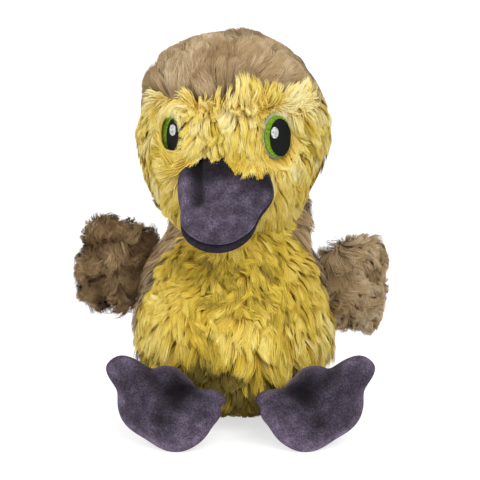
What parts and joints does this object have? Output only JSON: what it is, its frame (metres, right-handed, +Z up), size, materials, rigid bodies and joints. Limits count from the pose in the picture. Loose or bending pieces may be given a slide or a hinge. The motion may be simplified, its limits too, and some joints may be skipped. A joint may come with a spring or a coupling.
{
  "type": "plush goose dog toy",
  "caption": "Stuffed gosling dog toy that sits upright, with long pile, embroidered eyes, a soft bill, padded wings, webbed feet and a squeaker inside.",
  "frame": {"origin": "on the floor, at the middle of the body's flat seat", "axes": "+Z up, the toy faces -Y, +X is to its own left, the viewer's right"},
  "size_m": [0.1795, 0.1303, 0.213],
  "materials": {
    "yellow_fur": "long combed pile",
    "brown_fur": "long combed pile",
    "velboa": "short dense pile with a soft sheen",
    "fibre_filling": "loose fibre",
    "eye_outline_thread": "satin stitch",
    "iris_thread": "satin stitch",
    "pupil_thread": "satin stitch",
    "glint_thread": "satin stitch",
    "squeaker_plastic": "blown, matt",
    "reed_plastic": "moulded, satin"
  },
  "bodies": {
    "torso": {"tummy_panel": "yellow_fur", "back_panel": "brown_fur", "body_filling": "fibre_filling", "squeaker_bulb": "squeaker_plastic", "squeaker_reed": "reed_plastic"},
    "neck": {"neck_filling": "fibre_filling"},
    "head": {"face_panel": "yellow_fur", "crown_panel": "brown_fur", "head_filling": "fibre_filling", "bill_upper": "velboa", "bill_lower": "velboa", "bill_filling": "fibre_filling", "eye_left_patch": "eye_outline_thread", "eye_left_iris": "iris_thread", "eye_left_pupil": "pupil_thread", "eye_left_glint": "glint_thread", "eye_right_patch": "eye_outline_thread", "eye_right_iris": "iris_thread", "eye_right_pupil": "pupil_thread", "eye_right_glint": "glint_thread"},
    "wing_left": {"wing_left_front": "brown_fur", "wing_left_back": "brown_fur", "wing_left_filling": "fibre_filling"},
    "foot_left": {"foot_left_sole": "velboa", "foot_left_top": "velboa", "foot_left_filling": "fibre_filling"},
    "wing_right": {"wing_right_front": "brown_fur", "wing_right_back": "brown_fur", "wing_right_filling": "fibre_filling"},
    "foot_right": {"foot_right_sole": "velboa", "foot_right_top": "velboa", "foot_right_filling": "fibre_filling"}
  },
  "joints": [
    {"name": "head_turn", "type": "hinge", "parent": "torso", "child": "neck", "pos_m": [0.004, 0.002, 0.108], "axis": [0, 0, 1], "range_deg": [-35, 35], "stiffness_Nm_per_rad": 0.3},
    {"name": "head_nod", "type": "hinge", "parent": "neck", "child": "head", "pos_m": [0.004, 0.002, 0.108], "axis": [0.9925, -0.1219, 0], "range_deg": [-15, 20], "stiffness_Nm_per_rad": 0.3},
    {"name": "wing_left_flap", "type": "hinge", "parent": "torso", "child": "wing_left", "pos_m": [-0.05464, 0.008, 0.07806], "axis": [0.3274, 0, 0.9449], "range_deg": [-35, 35], "stiffness_Nm_per_rad": 0.03},
    {"name": "wing_right_flap", "type": "hinge", "parent": "torso", "child": "wing_right", "pos_m": [0.05703, 0.008, 0.07006], "axis": [0.2478, 0, -0.9688], "range_deg": [-35, 35], "stiffness_Nm_per_rad": 0.03},
    {"name": "foot_left_flop", "type": "hinge", "parent": "torso", "child": "foot_left", "pos_m": [-0.03598, -0.07153, 0.00826], "axis": [0.9848, -0.1736, 0], "range_deg": [0, 80], "stiffness_Nm_per_rad": 0.05},
    {"name": "foot_right_flop", "type": "hinge", "parent": "torso", "child": "foot_right", "pos_m": [0.04348, -0.07153, 0.00826], "axis": [0.9848, 0.1736, 0], "range_deg": [0, 80], "stiffness_Nm_per_rad": 0.05}
  ]
}
